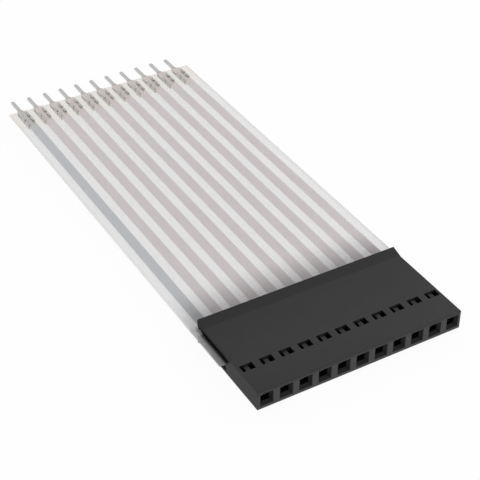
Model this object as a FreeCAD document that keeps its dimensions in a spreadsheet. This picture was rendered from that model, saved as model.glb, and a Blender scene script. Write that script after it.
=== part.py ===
import FreeCAD, Part
import Sketcher
import os
import re

# Flat flex cable with a receptacle housing on one end and solder tabs on the other.
# Frame: the origin is the middle of the mating face, on the mid-plane of the cable.
# X runs across the row of positions, Y runs back along the cable and Z is up.

doc = FreeCAD.newDocument("flat_flex_cable")

# Driving sizes in millimetres
sizes = {
    "positions": 11,
    "pitch": 2.54,
    # front block with its sockets
    "mouth_width": 1.75,
    "mouth_height": 1.76,
    "funnel_depth": 0.45,
    "pin_hole": 1.05,
    "front_wall": 1.1,
    "end_wall": 0.30,
    "roof_rise": 1.30,
    "floor_drop": 1.27,
    "block_length": 7.00,
    "chamber_width": 1.75,
    "chamber_height": 1.56,
    "edge_round": 0.08,
    # rear jaws and their flared mouth
    "housing_length": 13.66,
    "flare_length": 1.46,
    "upper_flare": 0.43,
    "lower_flare": 0.44,
    "lip_thickness": 0.82,
    "lead_in_length": 1.16,
    "slit_clearance": 0.05,
    "jaw_plate": 0.35,
    "side_recess": 0.17,
    "side_lip": 0.35,
    "side_rake": 0.75,
    # latch windows in the roof, each with a moulded tongue
    "window_start": 3.69,
    "window_length": 1.07,
    "window_width": 1.63,
    "latch_width": 0.57,
    "latch_recess": 0.25,
    "latch_gap": 0.12,
    "hook_length": 0.40,
    "hook_depth": 0.35,
    # cable
    "film_width": 29.26,
    "web_thickness": 0.20,
    "land_thickness": 0.30,
    "land_width": 1.70,
    "film_setback": 0.10,
    "free_length": 55.54,
    "conductor_width": 1.31,
    "conductor_thickness": 0.10,
    # crimp claws, alike on contacts and tabs
    "claw_spread": 1.40,
    "claw_length": 1.05,
    "claw_gap": 0.40,
    "claw_stagger": 0.85,
    "claw_stock": 0.13,
    "claw_curl": 0.17,
    "pierce_gap": 0.02,
    "crimp_margin": 0.20,
    # receptacle contacts
    "contact_stock": 0.20,
    "side_play": 0.10,
    "lift_play": 0.06,
    "end_play": 0.10,
    "beam_stock": 0.12,
    "beam_width": 0.80,
    "beam_opening": 0.50,
    "beam_root": 0.30,
    "beam_nose": 0.15,
    "beam_pinch": 0.80,
    "beam_flare": 0.10,
    "neck_width": 0.90,
    "neck_length": 1.10,
    "contact_crimp_setback": 0.40,
    # solder tabs
    "tab_stock": 0.25,
    "tab_crimp_setback": 0.80,
    "tab_shoulder": 0.50,
    "tab_taper": 1.00,
    "pin_width": 0.50,
    "pin_length": 2.75,
    "pin_bevel": 0.12,
}

sheet = doc.addObject("Spreadsheet::Sheet", "Sizes")
for row, (name, size) in enumerate(sizes.items(), start=1):
    sheet.set(f"A{row}", name)
    sheet.set(f"B{row}", str(size))
    sheet.setAlias(f"B{row}", name)
doc.recompute()

positions = int(sheet.positions)

# Places and sizes that follow from the driving ones, as expressions on the sheet
first_place = "(1 - positions) * pitch / 2"
half_width = "((positions - 1) * pitch + mouth_width + 2 * end_wall) / 2"
slit_half = "(land_thickness / 2 + slit_clearance)"
flare_start = "(housing_length - flare_length)"
lead_start = "(housing_length - lead_in_length)"
chamber_top = "(chamber_height / 2)"
latch_top = "(roof_rise - latch_recess)"
window_end = "(window_start + window_length)"
latch_end = "(window_start + window_length - latch_gap)"
hook_front = "(window_start + window_length - latch_gap - hook_length)"
film_front = "(block_length + film_setback)"
film_end = "(housing_length + free_length)"
crimp_run = "(2 * claw_length + claw_gap + claw_stagger)"
contact_crimp = "(block_length + film_setback + contact_crimp_setback)"
tab_crimp = f"({film_end} - tab_crimp_setback - {crimp_run})"
tab_bottom = "(-land_thickness / 2 - tab_stock)"
contact_bottom = "(-land_thickness / 2 - contact_stock)"
box_front = "(front_wall + end_play)"
box_rear = f"({hook_front} - end_play)"
box_half_width = "(chamber_width / 2 - side_play)"
box_half_height = "(chamber_height / 2 - lift_play)"


def rule(text):
    """Writes a size rule so that its words point at the cells of the sheet."""
    return re.sub(r"[a-z]\w*", lambda word: "Sizes." + word.group(), str(text))


def number(text):
    """The present value of a size rule."""
    return float(sheet.evalExpression(rule(text)))


def new_body(label):
    body = doc.addObject("PartDesign::Body", label)
    body.Label = label
    return body


def datum(body, role):
    return next(part for part in body.Origin.OriginFeatures if part.Role == role)


def new_sketch(body, name, plane, offset="0"):
    """A sketch on one of the body's own planes, moved along the plane's normal."""
    sketch = body.newObject("Sketcher::SketchObject", f"{body.Label}_{name}")
    sketch.AttachmentSupport = [(datum(body, plane), "")]
    sketch.MapMode = "FlatFace"
    if offset != "0":
        sketch.setExpression("AttachmentOffset.Base.z", rule(offset))
    return sketch


def end_at(sketch, edge, spot):
    """Which end of an edge, 1 or 2, lies at a spot."""
    return 1 if sketch.getPoint(edge, 1).distanceToPoint(spot) < 1e-6 else 2


def pin_point(sketch, edge, end, across, up):
    """Fixes one end of an edge at a place given by two size rules."""
    for kind, text, axis in (("DistanceX", across, -2), ("DistanceY", up, -1)):
        if text == "0":
            sketch.addConstraint(Sketcher.Constraint("PointOnObject", edge, end, axis))
            continue
        index = sketch.addConstraint(
            Sketcher.Constraint(kind, -1, 1, edge, end, number(text)))
        sketch.setExpression(f"Constraints[{index}]", rule(text))


def arc_edge(start, end, level, upright):
    """An arc whose centre lies straight above or below its level end, or beside it."""
    other = end if level == start else start
    run = other.x - level.x
    rise = other.y - level.y
    if upright:
        centre = level + FreeCAD.Vector(0, (run * run + rise * rise) / (2 * rise), 0)
    else:
        centre = level + FreeCAD.Vector((run * run + rise * rise) / (2 * run), 0, 0)
    bow = (start + end) / 2 - centre
    if bow.Length < 1e-6:
        bow = FreeCAD.Vector(0, 1, 0)
    middle = centre + bow.normalize() * centre.distanceToPoint(level)
    return Part.Arc(start, middle, end)


def add_outline(sketch, corners, arcs=None):
    """A closed outline through corners given as size rules.

    Its edges are straight, apart from the arcs, which give for an edge the corner
    that the arc's centre lies straight above or below ("Vertical") or beside
    ("Horizontal").
    """
    arcs = arcs or {}
    first = sketch.GeometryCount
    count = len(corners)
    spots = [FreeCAD.Vector(number(across), number(up), 0) for across, up in corners]
    for index in range(count):
        start = spots[index]
        end = spots[(index + 1) % count]
        if index in arcs:
            kind, corner = arcs[index]
            edge = arc_edge(start, end, spots[corner], kind == "Vertical")
        else:
            edge = Part.LineSegment(start, end)
        sketch.addGeometry(edge, False)
    for index in range(count):
        one = first + index
        two = first + (index + 1) % count
        spot = spots[(index + 1) % count]
        sketch.addConstraint(Sketcher.Constraint(
            "Coincident", one, end_at(sketch, one, spot), two, end_at(sketch, two, spot)))
    for index, (across, up) in enumerate(corners):
        edge = first + index
        pin_point(sketch, edge, end_at(sketch, edge, spots[index]), across, up)
    for index, (kind, corner) in arcs.items():
        edge = first + index
        end = end_at(sketch, edge, spots[corner])
        sketch.addConstraint(Sketcher.Constraint(kind, edge, end, edge, 3))


def add_rectangle(sketch, left, right, low, high):
    add_outline(sketch, [(left, low), (right, low), (right, high), (left, high)])


def finish(body, feature, settings):
    """Sets a feature's sizes, each bound to the sheet, and makes it the body's tip."""
    for name, text in settings.items():
        feature.setExpression(name, rule(text))
    body.Tip = feature
    doc.recompute()
    return feature


def add_pad(body, sketch, length, symmetric=False, back=False):
    pad = body.newObject("PartDesign::Pad", sketch.Label + "_pad")
    pad.Profile = sketch
    pad.Refine = True
    pad.SideType = "Symmetric" if symmetric else "One side"
    pad.Reversed = back
    return finish(body, pad, {"Length": length})


def add_pocket(body, sketch, length, symmetric=False, back=False):
    before = body.Shape.Volume
    pocket = body.newObject("PartDesign::Pocket", sketch.Label + "_pocket")
    pocket.Profile = sketch
    pocket.Refine = True
    pocket.SideType = "Symmetric" if symmetric else "One side"
    pocket.Reversed = back
    finish(body, pocket, {"Length": length})
    if body.Shape.Volume >= before:
        raise RuntimeError(f"{pocket.Label} cuts nothing")
    return pocket


def repeat(body, feature, axis, step, times):
    """Repeats a feature along one of the body's own axes."""
    pattern = body.newObject("PartDesign::LinearPattern", feature.Label + "_row")
    pattern.Originals = [feature]
    pattern.Direction = (datum(body, axis), [""])
    pattern.Mode = "Spacing"
    pattern.Refine = True
    return finish(body, pattern, {"Offset": step, "Occurrences": times})


def place_copies(form, name):
    """One placed copy of a form for each position of the row."""
    copies = []
    for index in range(positions):
        label = f"{name}_{index + 1:02d}"
        copy = doc.addObject("Part::Compound", label)
        copy.Label = label
        copy.Links = [form]
        copy.setExpression("Placement.Base.x", rule(f"{first_place} + {index} * pitch"))
        copies.append(copy)
    return copies


def claw_slots(sketch, middle, start):
    """Four slots for the claws of one crimp, with clearance on every side."""
    inner = "(claw_spread / 2 - claw_stock - pierce_gap)"
    outer = "(claw_spread / 2 + pierce_gap)"
    for side, shift in ((1, " + claw_stagger"), (-1, "")):
        for turn in range(2):
            low = f"{start}{shift} + {turn} * (claw_length + claw_gap)"
            edges = [f"{middle} + {side} * {inner}", f"{middle} + {side} * {outer}"]
            left, right = edges if side > 0 else edges[::-1]
            add_rectangle(sketch, left, right, f"{low} - pierce_gap",
                          f"{low} + claw_length + pierce_gap")


def add_claws(body, start, bottom):
    """Claws that rise through the cable at both edges and curl inwards over it."""
    over_film = "(land_thickness / 2 + pierce_gap)"
    for side, name, shift in ((1, "right", " + claw_stagger"), (-1, "left", "")):
        sketch = new_sketch(body, f"claw_{name}", "XZ_Plane", f"-({start}{shift})")
        outer = f"{side} * claw_spread / 2"
        inner = f"{side} * (claw_spread / 2 - claw_stock)"
        tip_outer = f"{side} * (claw_spread / 2 - 2 * claw_curl)"
        tip_inner = f"{side} * (claw_spread / 2 - 2 * claw_curl + claw_stock)"
        corners = [(outer, bottom), (outer, over_film), (tip_outer, over_film),
                   (tip_inner, over_film), (inner, over_film), (inner, bottom)]
        add_outline(sketch, corners, {1: ("Horizontal", 1), 3: ("Horizontal", 4)})
        claw = add_pad(body, sketch, "claw_length", back=True)
        repeat(body, claw, "Y_Axis", "claw_length + claw_gap", "2")


def add_housing_profile(sketch):
    """The side view: block, two jaws with the cable's slit between, flared mouth."""
    corners = [
        ("0", "roof_rise"),
        ("0", "-floor_drop"),
        (flare_start, "-floor_drop"),
        ("housing_length", "-floor_drop - lower_flare"),
        ("housing_length", "lip_thickness - floor_drop - lower_flare"),
        (lead_start, f"-{slit_half}"),
        ("block_length", f"-{slit_half}"),
        ("block_length", slit_half),
        (lead_start, slit_half),
        ("housing_length", "roof_rise + upper_flare - lip_thickness"),
        ("housing_length", "roof_rise + upper_flare"),
        (flare_start, "roof_rise"),
    ]
    add_outline(sketch, corners, {4: ("Vertical", 5), 8: ("Vertical", 8)})


def round_outer_edges(body, pad):
    """Rounds the roof's long edges, the front's upright corners and the lower lip's tip."""
    side = number(half_width)
    roof = number("roof_rise")
    lip = number("-floor_drop - lower_flare")
    names = []
    for index, edge in enumerate(pad.Shape.Edges, start=1):
        box = edge.BoundBox
        on_side = abs(abs(box.Center.x) - side) < 1e-6 and box.XLength < 1e-6
        on_roof = abs(box.ZMin - roof) < 1e-6 and box.ZLength < 1e-6
        on_lip = abs(box.ZMax - lip) < 1e-6
        on_front = abs(box.YMax) < 1e-6
        if on_front or on_lip or (on_side and on_roof):
            names.append(f"Edge{index}")
    fillet = body.newObject("PartDesign::Fillet", "outer_edges")
    fillet.Base = (pad, names)
    return finish(body, fillet, {"Radius": "edge_round"})


def make_housing():
    body = new_body("housing")
    profile = new_sketch(body, "side_view", "YZ_Plane")
    add_housing_profile(profile)
    pad = add_pad(body, profile, f"2 * {half_width}", symmetric=True)
    round_outer_edges(body, pad)

    left = f"{first_place} - chamber_width / 2"
    right = f"{first_place} + chamber_width / 2"
    chamber = new_sketch(body, "chamber", "XZ_Plane", "-front_wall")
    add_rectangle(chamber, left, right, f"-{chamber_top}", chamber_top)
    pocket = add_pocket(body, chamber, "housing_length")
    repeat(body, pocket, "X_Axis", "pitch", "positions")

    hole = new_sketch(body, "pin_hole", "XZ_Plane")
    add_rectangle(hole, f"{first_place} - pin_hole / 2", f"{first_place} + pin_hole / 2",
                  "-pin_hole / 2", "pin_hole / 2")
    pocket = add_pocket(body, hole, "front_wall + end_play")
    repeat(body, pocket, "X_Axis", "pitch", "positions")

    mouth = new_sketch(body, "mouth", "XZ_Plane")
    add_rectangle(mouth, f"{first_place} - mouth_width / 2",
                  f"{first_place} + mouth_width / 2", "-mouth_height / 2", "mouth_height / 2")
    throat = new_sketch(body, "throat", "XZ_Plane", "-funnel_depth")
    add_rectangle(throat, f"{first_place} - pin_hole / 2",
                  f"{first_place} + pin_hole / 2", "-pin_hole / 2", "pin_hole / 2")
    funnel = body.newObject("PartDesign::SubtractiveLoft", "funnel")
    funnel.Profile = mouth
    funnel.Sections = [throat]
    funnel.Ruled = True
    finish(body, funnel, {})
    repeat(body, funnel, "X_Axis", "pitch", "positions")

    window = new_sketch(body, "window", "XY_Plane", chamber_top)
    west = f"{first_place} - window_width / 2"
    east = f"{first_place} + window_width / 2"
    latch_west = f"{first_place} - latch_width / 2"
    latch_east = f"{first_place} + latch_width / 2"
    add_outline(window, [
        (west, "window_start"), (latch_west, "window_start"), (latch_west, latch_end),
        (latch_east, latch_end), (latch_east, "window_start"), (east, "window_start"),
        (east, window_end), (west, window_end)])
    pocket = add_pocket(body, window, "roof_rise", back=True)
    repeat(body, pocket, "X_Axis", "pitch", "positions")

    recess = new_sketch(body, "latch_recess", "XY_Plane", latch_top)
    add_rectangle(recess, latch_west, latch_east, "window_start", latch_end)
    pocket = add_pocket(body, recess, "roof_rise", back=True)
    repeat(body, pocket, "X_Axis", "pitch", "positions")

    hook = new_sketch(body, "hook", "YZ_Plane", first_place)
    inside = f"({chamber_top} + {latch_top}) / 2"
    add_outline(hook, [
        (hook_front, f"{chamber_top} - hook_depth"), (latch_end, chamber_top),
        (latch_end, inside), (hook_front, inside)])
    pad = add_pad(body, hook, "latch_width", symmetric=True)
    repeat(body, pad, "X_Axis", "pitch", "positions")

    side = new_sketch(body, "side_recess", "YZ_Plane", f"{half_width} - side_recess")
    add_outline(side, [
        ("block_length", "jaw_plate - floor_drop"), ("block_length", slit_half),
        ("block_length - side_rake", "roof_rise - jaw_plate"),
        ("housing_length - side_lip", "roof_rise - jaw_plate"),
        ("housing_length - side_lip", "jaw_plate - floor_drop")])
    pocket = add_pocket(body, side, "2 * side_recess", back=True)
    mirror = body.newObject("PartDesign::Mirrored", "side_recess_pair")
    mirror.Originals = [pocket]
    mirror.MirrorPlane = (datum(body, "YZ_Plane"), [""])
    finish(body, mirror, {})
    return body


def make_film():
    body = new_body("insulation_film")
    web = new_sketch(body, "web", "XY_Plane")
    add_rectangle(web, "-film_width / 2", "film_width / 2", film_front, film_end)
    add_pad(body, web, "web_thickness", symmetric=True)

    land = new_sketch(body, "land", "XY_Plane")
    add_rectangle(land, f"{first_place} - land_width / 2", f"{first_place} + land_width / 2",
                  film_front, film_end)
    pad = add_pad(body, land, "land_thickness", symmetric=True)
    repeat(body, pad, "X_Axis", "pitch", "positions")

    channel = new_sketch(body, "channel", "XZ_Plane")
    add_rectangle(channel, f"{first_place} - conductor_width / 2",
                  f"{first_place} + conductor_width / 2",
                  "-conductor_thickness / 2", "conductor_thickness / 2")
    pocket = add_pocket(body, channel, f"{film_end} + pitch")
    repeat(body, pocket, "X_Axis", "pitch", "positions")

    slots = new_sketch(body, "claw_slots", "XY_Plane")
    claw_slots(slots, f"({first_place})", contact_crimp)
    claw_slots(slots, f"({first_place})", tab_crimp)
    pocket = add_pocket(body, slots, "2 * land_thickness", symmetric=True)
    repeat(body, pocket, "X_Axis", "pitch", "positions")
    return body


def make_conductor_form():
    body = new_body("conductor_form")
    strip = new_sketch(body, "strip", "XY_Plane")
    add_rectangle(strip, "-conductor_width / 2", "conductor_width / 2", film_front, film_end)
    add_pad(body, strip, "conductor_thickness", symmetric=True)
    notches = new_sketch(body, "claw_notches", "XY_Plane")
    claw_slots(notches, "0", contact_crimp)
    claw_slots(notches, "0", tab_crimp)
    add_pocket(body, notches, "2 * conductor_thickness", symmetric=True)
    return body


def make_contact_form():
    body = new_body("contact_form")
    box = new_sketch(body, "box", "XZ_Plane", f"-{box_front}")
    add_rectangle(box, f"-{box_half_width}", box_half_width,
                  f"-{box_half_height}", box_half_height)
    add_rectangle(box, f"contact_stock - {box_half_width}", f"{box_half_width} - contact_stock",
                  f"contact_stock - {box_half_height}", f"{box_half_height} - contact_stock")
    add_pad(body, box, f"{box_rear} - {box_front}", back=True)

    beams = new_sketch(body, "beams", "YZ_Plane")
    wall = f"({box_half_height} - contact_stock)"
    inside_wall = f"({box_half_height} - contact_stock / 2)"
    pinch = f"({box_front} + beam_pinch)"
    nose = f"({box_front} + beam_nose)"
    for side in (1, -1):
        add_outline(beams, [
            (box_rear, f"{side} * {inside_wall}"),
            (f"{box_rear} - beam_root", f"{side} * {inside_wall}"),
            (pinch, f"{side} * (beam_opening / 2 + beam_stock)"),
            (nose, f"{side} * (beam_opening / 2 + beam_stock + beam_flare)"),
            (nose, f"{side} * (beam_opening / 2 + beam_flare)"),
            (pinch, f"{side} * beam_opening / 2"),
            (box_rear, f"{side} * ({wall} - beam_stock)")])
    add_pad(body, beams, "beam_width", symmetric=True)

    neck = new_sketch(body, "neck", "YZ_Plane")
    low = f"-{box_half_height}"
    ramp_start = f"({box_rear} + neck_length)"
    base_start = f"({contact_crimp} - crimp_margin)"
    add_outline(neck, [
        (f"{box_rear} - contact_stock", low),
        (ramp_start, low),
        (base_start, contact_bottom),
        (f"{base_start} + contact_stock", contact_bottom),
        (f"{base_start} + contact_stock", f"{contact_bottom} + contact_stock"),
        (base_start, f"{contact_bottom} + contact_stock"),
        (ramp_start, f"contact_stock + {low}"),
        (f"{box_rear} - contact_stock", f"contact_stock + {low}")])
    add_pad(body, neck, "neck_width", symmetric=True)

    base = new_sketch(body, "base", "XY_Plane", contact_bottom)
    add_rectangle(base, "-claw_spread / 2", "claw_spread / 2", base_start,
                  f"{contact_crimp} + {crimp_run} + crimp_margin")
    add_pad(body, base, "contact_stock")
    add_claws(body, contact_crimp, contact_bottom)
    return body


def make_tab_form():
    body = new_body("solder_tab_form")
    plate = new_sketch(body, "plate", "XY_Plane", tab_bottom)
    front = f"({tab_crimp} - crimp_margin)"
    shoulder = f"({tab_crimp} + {crimp_run} + crimp_margin + tab_shoulder)"
    pin_root = f"({shoulder} + tab_taper)"
    tip = f"({pin_root} + pin_length)"
    right = [
        ("claw_spread / 2", front),
        ("claw_spread / 2", shoulder),
        ("pin_width / 2", pin_root),
        ("pin_width / 2", f"{tip} - pin_bevel"),
        ("pin_width / 2 - pin_bevel", tip),
    ]
    left = [(f"-({across})", along) for across, along in reversed(right)]
    add_outline(plate, right + left)
    add_pad(body, plate, "tab_stock")
    add_claws(body, tab_crimp, tab_bottom)
    return body


nodes = [make_housing(), make_film()]
nodes += place_copies(make_conductor_form(), "conductor")
nodes += place_copies(make_contact_form(), "contact")
nodes += place_copies(make_tab_form(), "solder_tab")
doc.recompute()

for item in doc.Objects:
    if "Invalid" in item.State or "Error" in item.State:
        raise RuntimeError(f"{item.Label} is {item.State}")
for node in nodes:
    if node.Shape.isNull() or not node.Shape.isValid():
        raise RuntimeError(f"{node.Label} has no valid shape")
    if len(node.Shape.Solids) != 1:
        raise RuntimeError(f"{node.Label} has {len(node.Shape.Solids)} solids")

os.makedirs("parts", exist_ok=True)
for node in nodes:
    node.Shape.exportStep(f"parts/{node.Label}.step")
    box = node.Shape.BoundBox
    print(f"{node.Label}: x {box.XMin:.2f} to {box.XMax:.2f}, y {box.YMin:.2f} to "
          f"{box.YMax:.2f}, z {box.ZMin:.2f} to {box.ZMax:.2f}, {node.Shape.Volume:.2f} mm3")
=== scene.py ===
import math

import bmesh
import bpy
import numpy as np
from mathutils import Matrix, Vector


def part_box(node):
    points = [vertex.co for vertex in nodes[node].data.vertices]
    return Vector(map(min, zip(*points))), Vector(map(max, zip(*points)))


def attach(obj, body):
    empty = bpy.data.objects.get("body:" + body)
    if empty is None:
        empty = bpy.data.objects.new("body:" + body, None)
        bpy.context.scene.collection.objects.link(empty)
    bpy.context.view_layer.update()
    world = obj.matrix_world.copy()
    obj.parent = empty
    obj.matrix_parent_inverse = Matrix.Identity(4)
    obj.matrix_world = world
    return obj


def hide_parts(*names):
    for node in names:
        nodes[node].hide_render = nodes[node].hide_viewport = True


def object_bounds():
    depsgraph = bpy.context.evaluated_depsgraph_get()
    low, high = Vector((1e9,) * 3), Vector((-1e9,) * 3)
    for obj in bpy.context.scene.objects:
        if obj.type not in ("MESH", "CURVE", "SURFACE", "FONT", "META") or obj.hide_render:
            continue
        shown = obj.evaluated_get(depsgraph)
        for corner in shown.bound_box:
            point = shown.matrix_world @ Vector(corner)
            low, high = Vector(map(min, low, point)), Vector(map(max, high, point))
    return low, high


# Flat flex cable: a black receptacle housing, a clear laminated cable and a row of solder tabs.
# The CAD frame gives every size and place; this script gives the finishes, the film and the light.

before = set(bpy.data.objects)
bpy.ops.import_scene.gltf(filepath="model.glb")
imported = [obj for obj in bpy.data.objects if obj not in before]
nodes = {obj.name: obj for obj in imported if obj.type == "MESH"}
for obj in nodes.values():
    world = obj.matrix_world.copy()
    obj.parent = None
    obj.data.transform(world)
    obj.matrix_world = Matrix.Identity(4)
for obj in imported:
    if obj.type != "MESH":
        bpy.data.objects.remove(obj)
cadBox = [list(corner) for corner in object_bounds()]
conductorNames = sorted(name for name in nodes if name.startswith("conductor_"))
contactNames = sorted(name for name in nodes if name.startswith("contact_"))
tabNames = sorted(name for name in nodes if name.startswith("solder_tab_"))
print(f"frame: {len(nodes)} CAD nodes, {len(conductorNames)} conductors")

mm = 0.001


# Shader tools

# an output socket; an operator on it adds the Math node that works the value out
class Wire:
    def __init__(self, graph, socket):
        self.graph = graph
        self.socket = socket

    def maths(self, operation, left, right=0.0):
        return self.graph.node("Math", {"operation": operation}, {0: left, 1: right})

    def __add__(self, other):
        return self.maths("ADD", self, other)

    def __sub__(self, other):
        return self.maths("SUBTRACT", self, other)

    def __rsub__(self, other):
        return self.maths("SUBTRACT", other, self)

    def __mul__(self, other):
        return self.maths("MULTIPLY", self, other)

    def __abs__(self):
        return self.maths("ABSOLUTE", self)

    __radd__ = __add__
    __rmul__ = __mul__

    def larger(self, other):
        return self.maths("MAXIMUM", self, other)

    def fraction(self):
        return self.maths("FRACT", self)

    # rises smoothly from 0 to 1 as the value goes from low to high, which may be the smaller number
    def rise(self, low, high):
        return self.graph.node("MapRange", {"interpolation_type": "SMOOTHSTEP", "clamp": True},
                               {"Value": self, "From Min": low, "From Max": high})

    # 1 between two values and 0 outside them, with soft ends
    def between(self, low, high, soft):
        return self.rise(low - soft, low + soft) * self.rise(high + soft, high - soft)

    # another output of the same node
    def sister(self, name):
        return Wire(self.graph, self.socket.node.outputs[name])


# a node tree being filled, where every node comes from node()
class Graph:
    def __init__(self, tree):
        self.tree = tree
        tree.nodes.clear()

    def node(self, kind, settings=None, inputs=None, output=0):
        made = self.tree.nodes.new("ShaderNode" + kind)
        for name, value in (settings or {}).items():
            setattr(made, name, value)
        for name, value in (inputs or {}).items():
            if isinstance(value, Wire):
                self.tree.links.new(value.socket, made.inputs[name])
            else:
                made.inputs[name].default_value = value
        return Wire(self, made.outputs[output]) if len(made.outputs) else made

    # the point's own place in millimetres
    def place(self):
        here = self.node("TexCoord", output="Object")
        return self.node("VectorMath", {"operation": "SCALE"}, {0: here, "Scale": 1 / mm})

    # noise of that many grains per millimetre along X, Y and Z, about 0.5
    def grain(self, place, perMm, detail=2.0, seed=0.0):
        laid = self.node("Mapping", {}, {"Vector": place, "Scale": perMm, "Location": (seed, seed, seed)})
        return self.node("TexNoise", {}, {"Vector": laid, "Scale": 1.0, "Detail": detail})

    def mix(self, factor, first, second):
        return self.node("Mix", {"data_type": "RGBA"}, {0: factor, 6: first, 7: second}, output=2)

    def bump(self, height, depthMm):
        return self.node("Bump", {}, {"Height": height, "Distance": depthMm * mm})


def newMaterial(name):
    material = bpy.data.materials.new(name)
    material.use_nodes = True
    return material, Graph(material.node_tree)


def paintNode(name, material):
    piece = nodes[name]
    piece.data.materials.clear()
    piece.data.materials.append(material)


# Camera, floor and light

viewPoint = {
    "place": (-0.0674545, -0.0879905, 0.0997072),
    "turn": (53.0207, -0.0631, -30.2040),  # degrees about X, Y and Z
    "lens": 97.861,  # millimetres
    "sensor": 36,
    "nearest": 0.005,
    "farthest": 20,
}

studio = {
    "floorLevel": -0.00168,
    "floorReach": 2.0,
    "floorColour": (0.95, 0.95, 0.95, 1),
    # share of plain white that the camera sees in the floor, the rest being its lit and shaded colour
    "openGlow": 0.95,
    "underGlow": 0.88,  # below the cable
    "housingGlow": 0.40,  # below the housing and just behind it
    "inset": (1.4, 1.0),  # how far inside the object's outline the shade begins, across and along it
    "glowEdge": 0.5,
    "behindHousing": (16.5, 24.0),  # where the shade behind the housing begins and ends
    "horizonLight": 0.95,
    "zenithLight": 0.50,
    "domeEnds": (0.40, 0.98),  # how far up, from 0 to 1, the fall to the zenith begins and ends
    "lamps": {
        "frontLamp": {"place": (-0.02, -0.45, 0.23), "size": (1.20, 0.50), "power": 1.15},
        "rightLamp": {"place": (0.46, 0.05, 0.20), "size": (0.60, 0.40), "power": 0.45},
    },
    "aim": (0.0, 0.02, 0.0),
}


def makeCamera():
    camera = bpy.data.objects.new("camera", bpy.data.cameras.new("camera"))
    bpy.context.scene.collection.objects.link(camera)
    camera.location = viewPoint["place"]
    camera.rotation_euler = [math.radians(angle) for angle in viewPoint["turn"]]
    camera.data.lens = viewPoint["lens"]
    camera.data.sensor_width = viewPoint["sensor"]
    camera.data.clip_start = viewPoint["nearest"]
    camera.data.clip_end = viewPoint["farthest"]
    bpy.context.scene.camera = camera


# how much of a ray is seen straight, in a gloss or through something clear
def seenDirectly(graph):
    path = graph.node("LightPath", output="Is Camera Ray")
    return path.larger(path.sister("Is Glossy Ray")).larger(path.sister("Is Transmission Ray"))


# a bright horizon under a duller zenith, and plain white where the camera sees it
def makeSky():
    world = bpy.data.worlds.new("sky")
    bpy.context.scene.world = world
    world.use_nodes = True
    graph = Graph(world.node_tree)
    upward = graph.node("SeparateXYZ", {}, {0: graph.node("TexCoord", output="Generated")}, output="Z")
    fall = studio["horizonLight"] - studio["zenithLight"]
    dome = studio["horizonLight"] - fall * upward.rise(*studio["domeEnds"])
    strength = dome.larger(graph.node("LightPath", output="Is Camera Ray"))
    sky = graph.node("Background", {}, {"Color": (1, 1, 1, 1), "Strength": strength})
    graph.node("OutputWorld", {}, {"Surface": sky})


# how white a point of the floor is seen: least behind the housing, more below the cable
def floorGlow(graph):
    corner, far = (np.array(point) / mm for point in cadBox)
    middle = (corner + far) / 2
    half = (far - corner)[:2] / 2 - studio["inset"]
    x = graph.node("SeparateXYZ", {}, {0: graph.place()}, output="X")
    y = x.sister("Y")
    outside = (abs(x - middle[0]) - half[0]).larger(abs(y - middle[1]) - half[1])
    behind = y.rise(*studio["behindHousing"])
    under = studio["housingGlow"] + (studio["underGlow"] - studio["housingGlow"]) * behind
    return under + (studio["openGlow"] - under) * outside.rise(0, studio["glowEdge"])


def makeFloor():
    reach, level = studio["floorReach"], studio["floorLevel"]
    mesh = bpy.data.meshes.new("floor")
    mesh.from_pydata([(-reach, -reach, level), (reach, -reach, level), (reach, reach, level),
                      (-reach, reach, level)], [], [(0, 1, 2, 3)])
    floor = bpy.data.objects.new("floor", mesh)
    bpy.context.scene.collection.objects.link(floor)
    material, graph = newMaterial("pale floor")
    matt = graph.node("BsdfDiffuse", {}, {"Color": studio["floorColour"]})
    white = graph.node("Emission", {}, {"Color": (1, 1, 1, 1), "Strength": 1.0})
    share = seenDirectly(graph) * floorGlow(graph)
    both = graph.node("MixShader", {}, {0: share, 1: matt, 2: white})
    graph.node("OutputMaterial", {}, {"Surface": both})
    mesh.materials.append(material)


def makeLamps():
    for name, lamp in studio["lamps"].items():
        light = bpy.data.lights.new(name, "AREA")
        light.shape = "RECTANGLE"
        light.size, light.size_y = lamp["size"]
        light.energy = lamp["power"]
        holder = bpy.data.objects.new(name, light)
        bpy.context.scene.collection.objects.link(holder)
        holder.location = lamp["place"]
        aim = [a - b for a, b in zip(studio["aim"], lamp["place"])]
        flat = math.hypot(aim[0], aim[1])
        holder.rotation_euler = (math.atan2(flat, -aim[2]), 0, math.atan2(aim[1], aim[0]) - math.pi / 2)


bpy.context.scene.view_settings.view_transform = "Standard"
makeCamera()
makeSky()
makeFloor()
makeLamps()
print("stage: camera, sky, floor and lamps")


# Housing: satin black moulded plastic

housingFinish = {
    "edgeRadius": 0.03,  # millimetres
    "colour": (0.017, 0.017, 0.0172, 1),
    "paleColour": (0.023, 0.023, 0.0232, 1),
    "litFrontColour": (0.0275, 0.0275, 0.0277, 1),  # painted light: the mating face is made lighter, as if more light fell on it
    "frontEdge": (0.04, 0.01),  # where the painted light of the mating face ends and is full
    "specular": 0.36,
    # painted shade: a dark, dull finish that is mixed into the plastic where it is to look shaded
    "paintedShadeColour": (0.002, 0.002, 0.002, 1),
    "paintedShadeRoughness": 0.9,
    "paintedShadeSpecular": 0.05,
    "roughness": 0.52,
    "roughnessSpread": 0.12,
    "cloudPerMm": 0.5,
    "rubPerMm": 3.0,
    "grainPerMm": 14.0,
    "grainDepth": 0.004,
}
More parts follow.
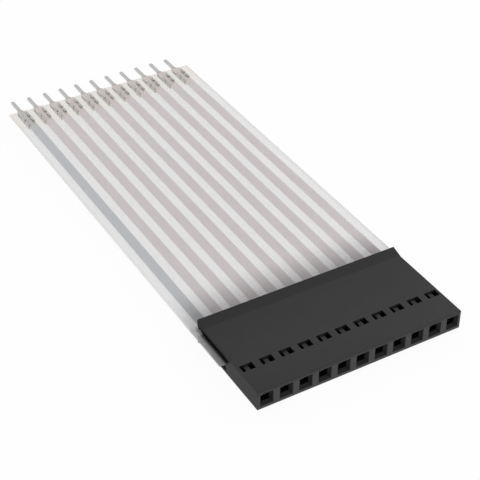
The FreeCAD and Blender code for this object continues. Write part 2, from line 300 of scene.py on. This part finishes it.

# where shade is painted on the plastic: places in millimetres, and shares of the painted shade colour
housingShadePlaces = {
    "pitch": 2.54,
    "mouthHalf": 0.90,
    "funnelDepth": 0.45,
    "funnelShade": 0.62,
    "windowEnds": (3.69, 4.76),
    "windowFloor": 0.5,
    "windowTop": 1.29,
    "windowHalf": 0.82,
    "tongueHalf": 0.285,
    "sideFaces": (13.68, 13.865),
    "sideEnds": (6.32, 13.29),
    "sideHeights": (-0.91, 0.94),
    "openEnds": (9.4, 8.6),  # below the cable's front end the side channel stands open
    "openHeights": (-0.12, -0.20),
    "endFaces": (13.86, 13.87),
    "endShade": 0.30,  # painted shade on the block's ends
    "jawStart": (7.0, 7.2),
    "jawShade": 0.58,  # painted shade on the narrow sides of the jaws
    "flareFoot": (1.305, 1.33),
    "flareShade": 0.16,
    "lintelHeights": (0.90, 0.96),  # painted shade on the front, above the mouths
    "lintelDepths": (0.10, 0.02),
    "lintelShade": 0.27,
    "edge": 0.02,  # half width of a shade's edge
    "fineEdge": 0.01,
}


# a copy of a CAD node whose loose triangles are joined and whose edges are rounded
def softenedCopy(nodeName, pieceName, radius):
    mergeReach = 0.001  # millimetres
    flatAngle, sharpAngle, roundedAngle = (math.radians(angle) for angle in (1, 30, 40))
    source = nodes[nodeName].data
    work = bmesh.new()
    work.from_mesh(source)
    bmesh.ops.remove_doubles(work, verts=work.verts, dist=mergeReach * mm)
    bmesh.ops.dissolve_limit(work, angle_limit=flatAngle, verts=work.verts, edges=work.edges)
    corners = [corner.co[:] for corner in work.verts]
    faces = [[corner.index for corner in face.verts] for face in work.faces]
    work.free()
    mesh = bpy.data.meshes.new(pieceName)
    mesh.from_pydata(corners, [], faces)
    piece = bpy.data.objects.new(pieceName, mesh)
    bpy.context.scene.collection.objects.link(piece)
    mesh.shade_smooth()
    mesh.set_sharp_from_angle(angle=sharpAngle)
    rounding = piece.modifiers.new("rounding", "BEVEL")
    rounding.width = radius * mm
    rounding.segments = 2
    rounding.limit_method = "ANGLE"
    rounding.angle_limit = roundedAngle
    rounding.harden_normals = True
    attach(piece, "root")
    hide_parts(nodeName)
    return piece


def blackPlastic():
    finish = housingFinish
    material, graph = newMaterial("black housing plastic")
    place = graph.place()
    cloud = graph.grain(place, (finish["cloudPerMm"],) * 3, 3.0)
    grit = graph.grain(place, (finish["grainPerMm"],) * 3, 2.0)
    rub = graph.grain(place, (finish["rubPerMm"],) * 3, 2.0, 4.0)
    along = graph.node("SeparateXYZ", {}, {0: place}, output="Y")
    colour = graph.mix(cloud, finish["colour"], finish["paleColour"])
    # painted light: the mating face gets a lighter colour
    colour = graph.mix(along.rise(*finish["frontEdge"]), colour, finish["litFrontColour"])
    rough = finish["roughness"] - finish["roughnessSpread"] / 2 + finish["roughnessSpread"] * rub
    plastic = graph.node("BsdfPrincipled", {}, {
        "Base Color": colour, "Roughness": rough, "Specular IOR Level": finish["specular"],
        "Normal": graph.bump(grit, finish["grainDepth"])})
    # painted shade: the dark, dull finish for the hollows and shaded faces
    paintedShade = graph.node("BsdfPrincipled", {}, {
        "Base Color": finish["paintedShadeColour"], "Roughness": finish["paintedShadeRoughness"],
        "Specular IOR Level": finish["paintedShadeSpecular"]})
    both = graph.node("MixShader", {}, {0: housingShadeShare(graph, place), 1: plastic, 2: paintedShade})
    graph.node("OutputMaterial", {}, {"Surface": both})
    return material


# share of painted shade at a point of the housing, from 0 to 1: in its sockets, windows and side
# channels, on the block's ends and the jaws' narrow sides, on the flare and above the mouths;
# the tongue in each window lies less than its half width from the nearest socket's middle
def housingShadeShare(graph, place):
    hollow = housingShadePlaces
    edge, fine = hollow["edge"], hollow["fineEdge"]
    x = graph.node("SeparateXYZ", {}, {0: place}, output="X")
    y, z = x.sister("Y"), x.sister("Z")
    out = abs(x)
    turns = x * (1 / hollow["pitch"]) + 0.5
    fromSocket = abs(turns.fraction() - 0.5) * hollow["pitch"]
    half = hollow["mouthHalf"]
    mouth = z.between(-half, half, edge) * fromSocket.rise(half + 2 * edge, half)
    funnel, end = hollow["funnelShade"], hollow["funnelDepth"]
    depth = funnel * y.rise(edge, 3 * edge) + (1 - funnel) * y.rise(end - 2 * edge, end + 2 * edge)
    window = y.between(*hollow["windowEnds"], fine) \
        * z.between(hollow["windowFloor"], hollow["windowTop"], edge) \
        * fromSocket.between(hollow["tongueHalf"], hollow["windowHalf"], fine)
    stands = y.rise(*hollow["openEnds"]) * z.rise(*hollow["openHeights"])
    side = out.between(*hollow["sideFaces"], fine) * y.between(*hollow["sideEnds"], edge) \
        * z.between(*hollow["sideHeights"], edge) * (1 - (1 - hollow["endShade"]) * stands)
    jaws = y.rise(*hollow["jawStart"]) * (1 - stands)
    ends = hollow["endShade"] + (hollow["jawShade"] - hollow["endShade"]) * jaws
    plate = out.rise(*hollow["endFaces"]) * ends
    flare = z.rise(*hollow["flareFoot"]) * hollow["flareShade"]
    lintel = z.rise(*hollow["lintelHeights"]) * y.rise(*hollow["lintelDepths"]) * hollow["lintelShade"]
    return (mouth * depth).larger(window).larger(side).larger(plate).larger(flare).larger(lintel)


housing = softenedCopy("housing", "housing_shell", housingFinish["edgeRadius"])
housing.data.materials.append(blackPlastic())
print(f"housing: {len(housing.data.polygons)} faces before rounding")


# Film: two clear layers laminated over the conductors

filmSheet = {
    "webHalf": 0.10,  # half thickness between the conductors, millimetres
    "landHalf": 0.15,  # half thickness over a conductor
    "landWidth": 1.70,
    "slope": 0.16,  # width of the step beside each conductor
    "clawSpread": 1.40,
    "clawStock": 0.13,
    "clawLength": 1.05,
    "clawGap": 0.40,
    "clawStagger": 0.85,
    "clawsInRow": 2,
    "crimpStarts": (7.50, 65.05),
    "rimHeight": 0.03,  # film pushed up round each claw
    "rimWidth": 0.09,
    "rimBelow": 0.6,  # share of the rim on the underside
    "sharpAngle": 50,  # degrees
    # grid lines: out from each conductor's middle, in from the edges, and rows along the sheet
    "clawLines": (0.30, 0.48, 0.54, 0.60, 0.66, 0.72),
    "edgeLines": (0.03, 0.6),
    "frontRows": (0.3, 11.3, 0.2),
    "freeRows": (12.0, 64.5, 1.5),
    "tabRows": (64.8, 68.9, 0.1),
}

# in each pair of places the effect begins at the first and is full at the second
filmFinish = {
    "colour": (0.70, 0.685, 0.685, 1),
    "creamColour": (0.74, 0.67, 0.565, 1),  # round the solder tabs
    "creamEnds": (63.4, 65.2),
    "creamLeast": 0.55,
    "shadeColour": (0.31, 0.305, 0.305, 1),  # painted shade where the lip keeps the light off
    "behindLip": (21.2, 15.2),
    "closeToLip": (17.2, 15.4),  # where painted shade in the dark jaw-side colour comes on top, close behind the lip
    "closeShade": 0.6,
    "lipFoot": (13.4, 13.8),
    "lipFade": (12.6, 14.0),
    "lipFadeShare": 0.75,
    "edgeShade": 0.6,  # painted shade along the long edges, behind the jaws
    "edgeShadeEnds": (18.5, 14.2),
    "edgeShadeSides": (13.3, 13.8),
    "jawShadeColour": (0.04, 0.04, 0.04, 1),  # painted shade close beside the dark jaws
    "besideJaw": (14.28, 13.70),
    "jawEnd": (14.7, 13.6),
    "jawShade": 0.13,
    "frontShade": 0.28,  # painted shade added towards the cable's front end
    "frontEnds": (12.5, 7.5),
    "cover": 0.28,  # share of the light that one layer stops
    "coverSpread": 0.04,
    # beside the jaws, where the painted shade lies, the film stops more light
    "jawCover": 0.65,
    "edgeCover": 0.36,
    "edgeBand": (0.55, 0.10),  # in from the long edges
    "cutCover": 0.40,  # on the cut edges
    "cutBand": (0.012, 0.004),
    "hazePerMm": (0.35, 0.12, 1.0),
    "rollsPerMm": (9.0, 0.25, 1.0),  # fine lines from the laminating rolls
    "rollDepth": 0.003,
    "roughness": 0.34,
    "roughnessSpread": 0.16,
}


# places of the sheet's grid lines across and along it, close together where the shape turns
def filmLines(low, high, middles):
    sheet = filmSheet
    slopeSpots = sheet["landWidth"] / 2 + np.linspace(-0.5, 0.5, 5) * sheet["slope"]
    half = np.concatenate([sheet["clawLines"], slopeSpots])
    across = np.concatenate([-half[::-1], [0.0], half])
    webs = (middles[:-1] + middles[1:]) / 2
    near, far = sheet["edgeLines"]
    edges = np.array([low[0], low[0] + near, low[0] + far, high[0] - far, high[0] - near, high[0]])
    first, last, step = sheet["frontRows"]
    xLines = np.sort(np.concatenate([(middles[:, None] + across).ravel(), webs, edges]))
    yLines = np.concatenate([[low[1], low[1] + near], np.arange(low[1] + first, last, step),
                             np.arange(*sheet["freeRows"]), np.arange(*sheet["tabRows"]),
                             [high[1] - near, high[1]]])
    return xLines, yLines


# Half thickness at a point: the web's, plus for each conductor a flat land whose sides fall
# on a smooth step, and on top a rim round each claw that fades as a bell curve with distance
def filmShape(x, y, middles):
    sheet = filmSheet
    away = np.abs(x[None, :] - middles[:, None]).min(axis=0)
    reach = np.clip((sheet["landWidth"] / 2 + sheet["slope"] / 2 - away) / sheet["slope"], 0, 1)
    half = sheet["webHalf"] + (sheet["landHalf"] - sheet["webHalf"]) * reach ** 2 * (3 - 2 * reach)
    rim = np.zeros((len(y), len(x)))
    clawMiddle = (sheet["clawSpread"] - sheet["clawStock"]) / 2
    for start in sheet["crimpStarts"]:
        for side, shift in ((-1, 0.0), (1, sheet["clawStagger"])):
            for turn in range(sheet["clawsInRow"]):
                near = start + shift + turn * (sheet["clawLength"] + sheet["clawGap"])
                acrossGap = np.abs(x[None, :] - (middles[:, None] + side * clawMiddle)).min(axis=0)
                acrossGap = np.maximum(acrossGap - sheet["clawStock"] / 2, 0)
                alongGap = np.maximum(np.maximum(near - y, y - near - sheet["clawLength"]), 0)
                gap = np.hypot(acrossGap[None, :], alongGap[:, None])
                rim = np.maximum(rim, np.exp(-(gap / sheet["rimWidth"]) ** 2))
    return half[None, :] * np.ones((len(y), 1)), sheet["rimHeight"] * rim


# A closed skin from a top and a bottom grid that share their edges' walls
def closedSheet(name, x, y, top, bottom):
    rows, columns = top.shape
    gridX, gridY = np.meshgrid(x, y)
    points = np.stack([np.stack([gridX, gridY, top], -1), np.stack([gridX, gridY, bottom], -1)])
    index = np.arange(rows * columns).reshape(rows, columns)
    under = index + rows * columns
    faces = [
        np.stack([index[:-1, :-1], index[:-1, 1:], index[1:, 1:], index[1:, :-1]], -1).reshape(-1, 4),
        np.stack([under[:-1, :-1], under[1:, :-1], under[1:, 1:], under[:-1, 1:]], -1).reshape(-1, 4),
    ]
    for upper, lower in ((index[0], under[0]), (index[-1, ::-1], under[-1, ::-1]),
                         (index[::-1, 0], under[::-1, 0]), (index[:, -1], under[:, -1])):
        faces.append(np.stack([lower[:-1], lower[1:], upper[1:], upper[:-1]], -1))
    mesh = bpy.data.meshes.new(name)
    mesh.from_pydata((points.reshape(-1, 3) * mm).tolist(), [], np.concatenate(faces).tolist())
    mesh.shade_smooth()
    mesh.set_sharp_from_angle(angle=math.radians(filmSheet["sharpAngle"]))
    piece = bpy.data.objects.new(name, mesh)
    bpy.context.scene.collection.objects.link(piece)
    return piece


def makeFilm():
    low, high = (np.array(corner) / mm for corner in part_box("insulation_film"))
    ends = [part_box(name) for name in conductorNames]
    middles = np.array([(a[0] + b[0]) / 2 for a, b in ends]) / mm
    x, y = filmLines(low, high, middles)
    half, rim = filmShape(x, y, middles)
    film = closedSheet("film", x, y, half + rim, filmSheet["rimBelow"] * rim - half)
    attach(film, "root")
    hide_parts("insulation_film")
    return film


# how the film's colour changes: cream round the tabs, with painted shade behind the lip, along the long
# edges behind the jaws and beside the jaws
def filmColour(graph, x, y, haze):
    finish = filmFinish
    out = abs(x)
    cream = y.rise(*finish["creamEnds"]) * (finish["creamLeast"] + (1 - finish["creamLeast"]) * haze)
    underLip = y.rise(*finish["lipFoot"]) * (1 - finish["lipFadeShare"] * out.rise(*finish["lipFade"]))
    lipShade = y.rise(*finish["behindLip"]) * underLip
    lipLine = finish["closeShade"] * y.rise(*finish["closeToLip"]) * underLip
    beside = y.rise(*finish["jawEnd"])
    edgeShade = finish["edgeShade"] * y.rise(*finish["edgeShadeEnds"]) * (1 - beside) \
        * out.rise(*finish["edgeShadeSides"])
    fromJaw = (finish["jawShade"] + finish["frontShade"] * y.rise(*finish["frontEnds"])) \
        .larger(out.rise(*finish["besideJaw"]))
    colour = graph.mix(cream, finish["colour"], finish["creamColour"])
    # painted shade: behind the lip, along the edges behind the jaws, in a line close behind the lip and
    # beside the jaws
    colour = graph.mix(lipShade.larger(edgeShade), colour, finish["shadeColour"])
    colour = graph.mix(lipLine, colour, finish["jawShadeColour"])
    return graph.mix(beside * fromJaw, colour, finish["jawShadeColour"])


# how much of the light one layer stops: more beside the jaws where the painted shade lies, near the edges
# and on the cuts
def filmCover(x, y, haze):
    finish = filmFinish
    far = np.array(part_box("insulation_film")[1]) / mm
    edgeFrom, edgeTo = finish["edgeBand"]
    cutFrom, cutTo = finish["cutBand"]
    out = abs(x)
    edge = out.rise(far[0] - edgeFrom, far[0] - edgeTo)
    cut = out.rise(far[0] - cutFrom, far[0] - cutTo).larger(y.rise(far[1] - cutFrom, far[1] - cutTo))
    cover = finish["cover"] - finish["coverSpread"] / 2 + finish["coverSpread"] * haze
    cover = cover + (finish["jawCover"] - finish["cover"]) * y.rise(*finish["jawEnd"])
    cover = cover + (finish["edgeCover"] - finish["cover"]) * edge
    return cover + (finish["cutCover"] - finish["edgeCover"]) * cut


def clearFilm():
    finish = filmFinish
    material, graph = newMaterial("clear laminated film")
    place = graph.place()
    x = graph.node("SeparateXYZ", {}, {0: place}, output="X")
    y = x.sister("Y")
    haze = graph.grain(place, finish["hazePerMm"], 3.0)
    rolled = graph.grain(place, finish["rollsPerMm"], 2.0, 7.0)
    rough = finish["roughness"] - finish["roughnessSpread"] / 2 + finish["roughnessSpread"] * rolled
    sheet = graph.node("BsdfPrincipled", {}, {
        "Base Color": filmColour(graph, x, y, haze), "Alpha": filmCover(x, y, haze),
        "Roughness": rough, "Normal": graph.bump(rolled, finish["rollDepth"])})
    graph.node("OutputMaterial", {}, {"Surface": sheet})
    return material


film = makeFilm()
film.data.materials.append(clearFilm())
print(f"film: {len(film.data.polygons)} faces")


# Conductors: flat rolled strips, the first one marked

stripFinish = {
    "colour": (0.84, 0.775, 0.785, 1),
    "markedColour": (0.66, 0.69, 0.72, 1),
    "shade": 0.86,  # how dark the rolling lines get
    "lipShade": 0.66,  # painted shade: how dark a strip is where the housing keeps the light off
    "behindLip": (21.2, 15.2),
    "linesPerMm": (7.0, 0.10, 1.0),
    "patchesPerMm": (0.4, 0.18, 1.0),
    "evenShare": 0.35,
    "unevenShare": 0.5,
    "lineDepth": 0.002,
    "roughness": 0.36,
    "roughnessSpread": 0.20,
    "metallic": 0.85,
}


def darker(colour, share):
    return tuple(share * part for part in colour[:3]) + (1,)


def rolledStrip(name, colour):
    finish = stripFinish
    material, graph = newMaterial(name)
    place = graph.place()
    along = graph.node("SeparateXYZ", {}, {0: place}, output="Y")
    lines = graph.grain(place, finish["linesPerMm"], 3.0)
    patches = graph.grain(place, finish["patchesPerMm"], 2.0, 3.0)
    uneven = finish["evenShare"] + finish["unevenShare"] * (lines - patches)
    rolled = graph.mix(uneven, colour, darker(colour, finish["shade"]))
    # painted shade behind the housing's lip
    shaded = graph.mix(along.rise(*finish["behindLip"]), rolled, darker(colour, finish["lipShade"]))
    rough = finish["roughness"] - finish["roughnessSpread"] / 2 + finish["roughnessSpread"] * lines
    metal = graph.node("BsdfPrincipled", {}, {
        "Base Color": shaded, "Metallic": finish["metallic"], "Roughness": rough,
        "Normal": graph.bump(lines, finish["lineDepth"])})
    graph.node("OutputMaterial", {}, {"Surface": metal})
    return material


plainStrip = rolledStrip("tinned copper strip", stripFinish["colour"])
markedStrip = rolledStrip("marked first strip", stripFinish["markedColour"])
for name in conductorNames:
    paintNode(name, markedStrip if name == conductorNames[0] else plainStrip)
print("conductors: painted")


# Contacts and solder tabs: satin tin plate

tinFinish = {
    "colour": (0.59, 0.59, 0.59, 1),
    # dull tin, also the colour of the painted shade on the claws
    "dullAndShadeColour": (0.545, 0.52, 0.495, 1),
    "spotDullness": 0.20,
    "lineDullness": 0.15,
    # painted shade: the raised claws are darkened
    "clawShade": 0.30,
    "clawHeights": (0.13, 0.20),
    "rootEnds": (69.2, 70.1),  # the bare plate between the claws and the pin is duller
    "rootEdge": 0.1,
    "spotsPerMm": (5.0, 5.0, 5.0),
    "linesPerMm": (14.0, 1.2, 14.0),
    "lineDepth": 0.0012,
    "roughness": 0.36,
    "roughnessSpread": 0.16,
}


def tinPlate():
    finish = tinFinish
    material, graph = newMaterial("satin tin plate")
    place = graph.place()
    height = graph.node("SeparateXYZ", {}, {0: place}, output="Z")
    spots = graph.grain(place, finish["spotsPerMm"], 3.0)
    lines = graph.grain(place, finish["linesPerMm"], 2.0, 5.0)
    # painted shade on the raised claws; the spots and lines are the plate's own dull tone
    claws = finish["clawShade"] * height.rise(*finish["clawHeights"])
    root = height.sister("Y").between(*finish["rootEnds"], finish["rootEdge"])
    dullAndShade = finish["spotDullness"] * spots + finish["lineDullness"] * lines + claws.larger(root)
    rough = finish["roughness"] - finish["roughnessSpread"] / 2 + finish["roughnessSpread"] * spots
    metal = graph.node("BsdfPrincipled", {}, {
        "Base Color": graph.mix(dullAndShade, finish["colour"], finish["dullAndShadeColour"]),
        "Metallic": 1.0, "Roughness": rough, "Normal": graph.bump(lines, finish["lineDepth"])})
    graph.node("OutputMaterial", {}, {"Surface": metal})
    return material


tin = tinPlate()
for name in contactNames + tabNames:
    paintNode(name, tin)
print("contacts and tabs: painted")
